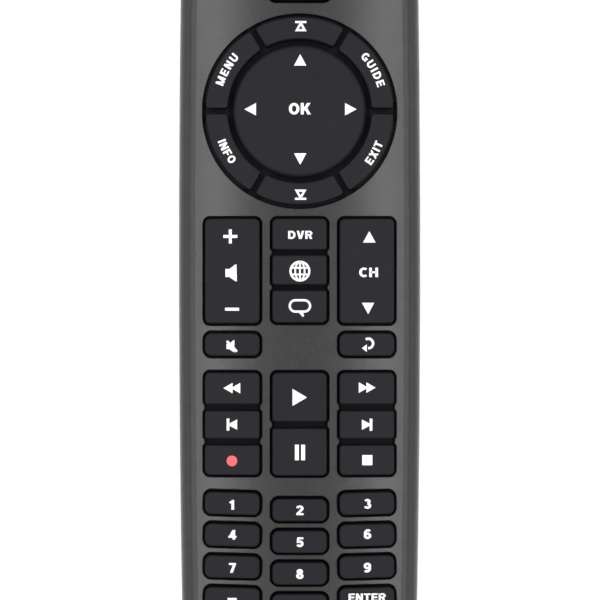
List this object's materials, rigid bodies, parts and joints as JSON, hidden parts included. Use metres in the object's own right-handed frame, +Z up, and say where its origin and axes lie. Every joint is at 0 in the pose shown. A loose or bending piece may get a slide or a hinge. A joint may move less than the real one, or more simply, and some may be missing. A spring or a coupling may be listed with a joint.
{
  "type": "remote control",
  "caption": "Slim hand-held remote control: round cursor pad in a ring of keys, two tall rocker keys, stacked transport keys, digit pad, and a battery cover that slides off the back.",
  "frame": {"origin": "centre of the flat back, at its level, so the remote lies on z = 0 with its keys up", "axes": "+Y along the remote towards the infrared window, +X to the right seen from above with the window at the top, +Z up out of the keys"},
  "size_m": [0.0528, 0.214, 0.0256],
  "materials": {
    "front_casing": "satin, finely textured",
    "rear_casing": "fine matt texture",
    "keys": "satin, white printed legends",
    "nav_mechanism": "natural, as moulded",
    "silicone_sheet": "matt",
    "board": "solder mask",
    "chip": "matt epoxy",
    "ceramic": "dipped coating",
    "can": "bright can with a printed sleeve",
    "contacts": "nickel plated",
    "cell": "printed plastic sleeve over a metal can",
    "dark_window": "polished, lets infrared through",
    "led": "clear epoxy",
    "clear_pipe": "polished"
  },
  "bodies": {
    "casing": {"front_housing": "front_casing", "rear_housing": "rear_casing", "keypad_mat": "silicone_sheet", "circuit_board": "board", "main_chip": "chip", "resonator": "ceramic", "capacitor": "can", "ir_leds": "led", "ir_window": "dark_window", "status_led": "led", "light_pipe": "clear_pipe", "battery_left": "cell", "battery_right": "cell", "contact_positive": "contacts", "contact_negative": "contacts", "contact_bridge": "contacts", "housing_screws": "contacts"},
    "battery_cover": {"battery_cover": "rear_casing"},
    "nav_plunger": {"nav_plunger": "nav_mechanism"},
    "nav_rocker_plate": {"nav_rocker_plate": "nav_mechanism"},
    "nav_disc": {"nav_disc": "keys"},
    "volume_rocker": {"volume_rocker": "keys"},
    "channel_rocker": {"channel_rocker": "keys"},
    "page_up_key": {"page_up_key": "keys"},
    "guide_key": {"guide_key": "keys"},
    "exit_key": {"exit_key": "keys"},
    "page_down_key": {"page_down_key": "keys"},
    "info_key": {"info_key": "keys"},
    "menu_key": {"menu_key": "keys"},
    "dvr_key": {"dvr_key": "keys"},
    "globe_key": {"globe_key": "keys"},
    "bubble_key": {"bubble_key": "keys"},
    "mute_key": {"mute_key": "keys"},
    "return_key": {"return_key": "keys"},
    "play_key": {"play_key": "keys"},
    "pause_key": {"pause_key": "keys"},
    "record_key": {"record_key": "keys"},
    "rewind_key": {"rewind_key": "keys"},
    "skip_back_key": {"skip_back_key": "keys"},
    "fast_forward_key": {"fast_forward_key": "keys"},
    "skip_forward_key": {"skip_forward_key": "keys"},
    "stop_key": {"stop_key": "keys"},
    "power_key": {"power_key": "keys"},
    "shortcut_key": {"shortcut_key": "keys"},
    "tv_key": {"tv_key": "keys"},
    "aux_key": {"aux_key": "keys"},
    "key_1": {"key_1": "keys"},
    "key_2": {"key_2": "keys"},
    "key_3": {"key_3": "keys"},
    "key_4": {"key_4": "keys"},
    "key_5": {"key_5": "keys"},
    "key_6": {"key_6": "keys"},
    "key_7": {"key_7": "keys"},
    "key_8": {"key_8": "keys"},
    "key_9": {"key_9": "keys"},
    "key_dash": {"key_dash": "keys"},
    "key_0": {"key_0": "keys"},
    "key_enter": {"key_enter": "keys"}
  },
  "joints": [
    {"name": "battery_cover_slide", "type": "slide", "parent": "casing", "child": "battery_cover", "axis": [0, -1, 0], "range_m": [0, 0.072]},
    {"name": "nav_press", "type": "slide", "parent": "casing", "child": "nav_plunger", "axis": [0, 0, -1], "range_m": [0, 0.0008], "stiffness_N_per_m": 1500},
    {"name": "nav_tilt_up_down", "type": "hinge", "parent": "nav_plunger", "child": "nav_rocker_plate", "pos_m": [0, 0.041, 0.0219], "axis": [1, 0, 0], "range_deg": [-3.2, 3.2], "stiffness_Nm_per_rad": 0.14},
    {"name": "nav_tilt_left_right", "type": "hinge", "parent": "nav_rocker_plate", "child": "nav_disc", "pos_m": [0, 0.041, 0.0219], "axis": [0, 1, 0], "range_deg": [-3.2, 3.2], "stiffness_Nm_per_rad": 0.14},
    {"name": "volume_rock", "type": "hinge", "parent": "casing", "child": "volume_rocker", "pos_m": [-0.0146, 0.0063, 0.0213], "axis": [1, 0, 0], "range_deg": [-4, 4], "stiffness_Nm_per_rad": 0.14},
    {"name": "channel_rock", "type": "hinge", "parent": "casing", "child": "channel_rocker", "pos_m": [0.0146, 0.0063, 0.0213], "axis": [1, 0, 0], "range_deg": [-4, 4], "stiffness_Nm_per_rad": 0.14},
    {"name": "page_up_press", "type": "slide", "parent": "casing", "child": "page_up_key", "axis": [0, 0, -1], "range_m": [0, 0.0008], "stiffness_N_per_m": 1500},
    {"name": "guide_press", "type": "slide", "parent": "casing", "child": "guide_key", "axis": [0, 0, -1], "range_m": [0, 0.0008], "stiffness_N_per_m": 1500},
    {"name": "exit_press", "type": "slide", "parent": "casing", "child": "exit_key", "axis": [0, 0, -1], "range_m": [0, 0.0008], "stiffness_N_per_m": 1500},
    {"name": "page_down_press", "type": "slide", "parent": "casing", "child": "page_down_key", "axis": [0, 0, -1], "range_m": [0, 0.0008], "stiffness_N_per_m": 1500},
    {"name": "info_press", "type": "slide", "parent": "casing", "child": "info_key", "axis": [0, 0, -1], "range_m": [0, 0.0008], "stiffness_N_per_m": 1500},
    {"name": "menu_press", "type": "slide", "parent": "casing", "child": "menu_key", "axis": [0, 0, -1], "range_m": [0, 0.0008], "stiffness_N_per_m": 1500},
    {"name": "dvr_press", "type": "slide", "parent": "casing", "child": "dvr_key", "axis": [0, 0, -1], "range_m": [0, 0.0008], "stiffness_N_per_m": 1500},
    {"name": "globe_press", "type": "slide", "parent": "casing", "child": "globe_key", "axis": [0, 0, -1], "range_m": [0, 0.0008], "stiffness_N_per_m": 1500},
    {"name": "bubble_press", "type": "slide", "parent": "casing", "child": "bubble_key", "axis": [0, 0, -1], "range_m": [0, 0.0008], "stiffness_N_per_m": 1500},
    {"name": "mute_press", "type": "slide", "parent": "casing", "child": "mute_key", "axis": [0, 0, -1], "range_m": [0, 0.0008], "stiffness_N_per_m": 1500},
    {"name": "return_press", "type": "slide", "parent": "casing", "child": "return_key", "axis": [0, 0, -1], "range_m": [0, 0.0008], "stiffness_N_per_m": 1500},
    {"name": "play_press", "type": "slide", "parent": "casing", "child": "play_key", "axis": [0, 0, -1], "range_m": [0, 0.0008], "stiffness_N_per_m": 1500},
    {"name": "pause_press", "type": "slide", "parent": "casing", "child": "pause_key", "axis": [0, 0, -1], "range_m": [0, 0.0008], "stiffness_N_per_m": 1500},
    {"name": "record_press", "type": "slide", "parent": "casing", "child": "record_key", "axis": [0, 0, -1], "range_m": [0, 0.0008], "stiffness_N_per_m": 1500},
    {"name": "rewind_press", "type": "slide", "parent": "casing", "child": "rewind_key", "axis": [0, 0, -1], "range_m": [0, 0.0008], "stiffness_N_per_m": 1500},
    {"name": "skip_back_press", "type": "slide", "parent": "casing", "child": "skip_back_key", "axis": [0, 0, -1], "range_m": [0, 0.0008], "stiffness_N_per_m": 1500},
    {"name": "fast_forward_press", "type": "slide", "parent": "casing", "child": "fast_forward_key", "axis": [0, 0, -1], "range_m": [0, 0.0008], "stiffness_N_per_m": 1500},
    {"name": "skip_forward_press", "type": "slide", "parent": "casing", "child": "skip_forward_key", "axis": [0, 0, -1], "range_m": [0, 0.0008], "stiffness_N_per_m": 1500},
    {"name": "stop_press", "type": "slide", "parent": "casing", "child": "stop_key", "axis": [0, 0, -1], "range_m": [0, 0.0008], "stiffness_N_per_m": 1500},
    {"name": "power_press", "type": "slide", "parent": "casing", "child": "power_key", "axis": [0, 0, -1], "range_m": [0, 0.0008], "stiffness_N_per_m": 1500},
    {"name": "shortcut_press", "type": "slide", "parent": "casing", "child": "shortcut_key", "axis": [0, 0, -1], "range_m": [0, 0.0008], "stiffness_N_per_m": 1500},
    {"name": "tv_press", "type": "slide", "parent": "casing", "child": "tv_key", "axis": [0, 0, -1], "range_m": [0, 0.0008], "stiffness_N_per_m": 1500},
    {"name": "aux_press", "type": "slide", "parent": "casing", "child": "aux_key", "axis": [0, 0, -1], "range_m": [0, 0.0008], "stiffness_N_per_m": 1500},
    {"name": "key_1_press", "type": "slide", "parent": "casing", "child": "key_1", "axis": [0, 0, -1], "range_m": [0, 0.0008], "stiffness_N_per_m": 1500},
    {"name": "key_2_press", "type": "slide", "parent": "casing", "child": "key_2", "axis": [0, 0, -1], "range_m": [0, 0.0008], "stiffness_N_per_m": 1500},
    {"name": "key_3_press", "type": "slide", "parent": "casing", "child": "key_3", "axis": [0, 0, -1], "range_m": [0, 0.0008], "stiffness_N_per_m": 1500},
    {"name": "key_4_press", "type": "slide", "parent": "casing", "child": "key_4", "axis": [0, 0, -1], "range_m": [0, 0.0008], "stiffness_N_per_m": 1500},
    {"name": "key_5_press", "type": "slide", "parent": "casing", "child": "key_5", "axis": [0, 0, -1], "range_m": [0, 0.0008], "stiffness_N_per_m": 1500},
    {"name": "key_6_press", "type": "slide", "parent": "casing", "child": "key_6", "axis": [0, 0, -1], "range_m": [0, 0.0008], "stiffness_N_per_m": 1500},
    {"name": "key_7_press", "type": "slide", "parent": "casing", "child": "key_7", "axis": [0, 0, -1], "range_m": [0, 0.0008], "stiffness_N_per_m": 1500},
    {"name": "key_8_press", "type": "slide", "parent": "casing", "child": "key_8", "axis": [0, 0, -1], "range_m": [0, 0.0008], "stiffness_N_per_m": 1500},
    {"name": "key_9_press", "type": "slide", "parent": "casing", "child": "key_9", "axis": [0, 0, -1], "range_m": [0, 0.0008], "stiffness_N_per_m": 1500},
    {"name": "key_dash_press", "type": "slide", "parent": "casing", "child": "key_dash", "axis": [0, 0, -1], "range_m": [0, 0.0008], "stiffness_N_per_m": 1500},
    {"name": "key_0_press", "type": "slide", "parent": "casing", "child": "key_0", "axis": [0, 0, -1], "range_m": [0, 0.0008], "stiffness_N_per_m": 1500},
    {"name": "key_enter_press", "type": "slide", "parent": "casing", "child": "key_enter", "axis": [0, 0, -1], "range_m": [0, 0.0008], "stiffness_N_per_m": 1500}
  ]
}
